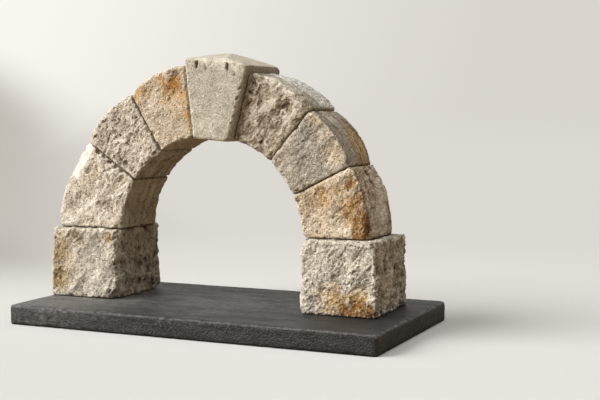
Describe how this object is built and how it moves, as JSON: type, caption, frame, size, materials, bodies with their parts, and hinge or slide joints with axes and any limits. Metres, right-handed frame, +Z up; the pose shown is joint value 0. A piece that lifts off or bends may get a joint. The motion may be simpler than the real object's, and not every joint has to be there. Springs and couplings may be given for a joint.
{
  "type": "stone arch model",
  "caption": "Tabletop model of a round arch: rough-split wedge stones close on a proud keystone and stand on squared pier blocks on a dark slate base. Display and teaching piece.",
  "frame": {"origin": "middle of the slate base's underside", "axes": "+X along the base to the right as seen from the front, +Y to the back, +Z up"},
  "size_m": [0.4, 0.206, 0.2784],
  "materials": {
    "slate": "matt riven slate",
    "split_stone": "rough-split, iron-stained",
    "dressed_stone": "fine-tooled"
  },
  "bodies": {
    "root": {"slate_base": "slate", "left_pier_block": "split_stone", "left_voussoir_lower": "split_stone", "left_voussoir_middle": "split_stone", "left_voussoir_upper": "split_stone", "keystone": "dressed_stone", "right_voussoir_upper": "split_stone", "right_voussoir_middle": "split_stone", "right_voussoir_lower": "split_stone", "right_pier_block": "split_stone"}
  },
  "joints": []
}
